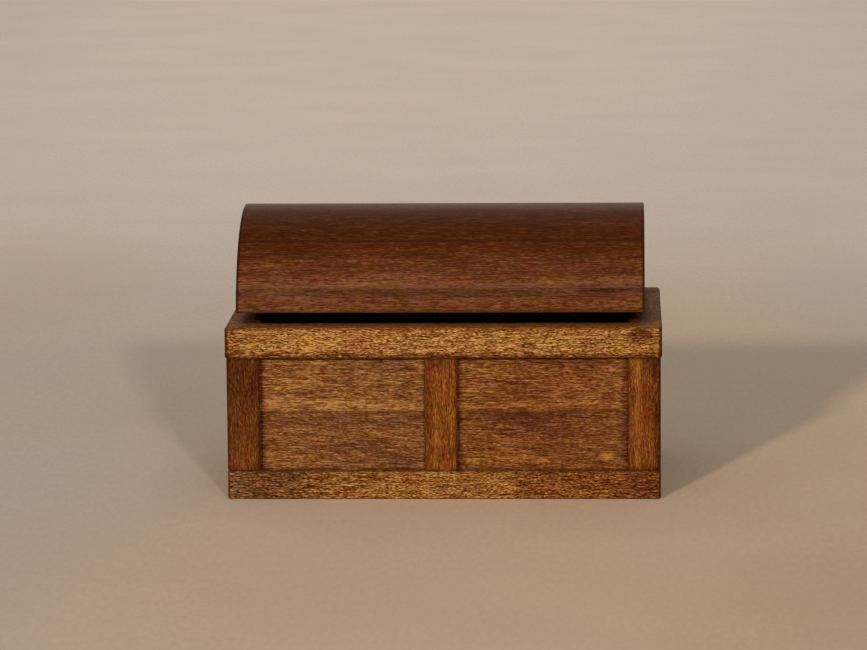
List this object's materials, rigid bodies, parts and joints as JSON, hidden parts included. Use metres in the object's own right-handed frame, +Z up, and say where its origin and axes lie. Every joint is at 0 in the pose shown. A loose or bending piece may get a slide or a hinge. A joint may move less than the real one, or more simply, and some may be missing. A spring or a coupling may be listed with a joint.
{
  "type": "treasure chest box",
  "caption": "Small panelled wooden keepsake chest with a barrel lid of curved staves that swings on brass butt hinges.",
  "frame": {"origin": "centre of the flat underside, at the middle of the panelled box's width and depth", "axes": "+X to the right along the chest's length, +Y towards the hinged back, +Z up"},
  "size_m": [0.0964, 0.0622, 0.0618],
  "materials": {
    "rim_wood": "golden brown stained hardwood, thin satin coat, horizontal grain",
    "board_wood": "red brown stained hardwood, thin satin coat, horizontal grain",
    "stile_wood": "dark red brown stained hardwood, thin satin coat, upright grain",
    "lid_wood": "dark walnut stained hardwood, satin coat, grain along the staves",
    "hinge_brass": "aged brass, rubbed bright at the edges"
  },
  "bodies": {
    "box": {"front_lower_board": "board_wood", "front_upper_board": "board_wood", "front_rim_rail": "rim_wood", "front_bottom_rail": "rim_wood", "front_left_stile": "stile_wood", "front_middle_stile": "stile_wood", "front_right_stile": "stile_wood", "back_lower_board": "board_wood", "back_upper_board": "board_wood", "back_rim_rail": "rim_wood", "back_bottom_rail": "rim_wood", "back_left_stile": "stile_wood", "back_middle_stile": "stile_wood", "back_right_stile": "stile_wood", "left_lower_board": "board_wood", "left_upper_board": "board_wood", "left_rim_rail": "rim_wood", "left_bottom_rail": "rim_wood", "left_front_stile": "stile_wood", "left_back_stile": "stile_wood", "right_lower_board": "board_wood", "right_upper_board": "board_wood", "right_rim_rail": "rim_wood", "right_bottom_rail": "rim_wood", "right_front_stile": "stile_wood", "right_back_stile": "stile_wood", "floor_board": "board_wood", "left_hinge_box_leaf": "hinge_brass", "left_hinge_pin": "hinge_brass", "right_hinge_box_leaf": "hinge_brass", "right_hinge_pin": "hinge_brass", "box_hinge_brads": "hinge_brass"},
    "lid": {"lid_front_rail": "lid_wood", "lid_front_stave": "lid_wood", "lid_front_crown": "lid_wood", "lid_rear_crown": "lid_wood", "lid_rear_stave": "lid_wood", "lid_rear_rail": "lid_wood", "lid_left_end": "lid_wood", "lid_right_end": "lid_wood", "left_hinge_lid_leaf": "hinge_brass", "right_hinge_lid_leaf": "hinge_brass", "lid_hinge_brads": "hinge_brass"}
  },
  "joints": [
    {"name": "lid_hinge", "type": "hinge", "parent": "box", "child": "lid", "pos_m": [0, 0.03115, 0.03845], "axis": [-1, 0, 0], "range_deg": [-2.8, 177.2]}
  ]
}
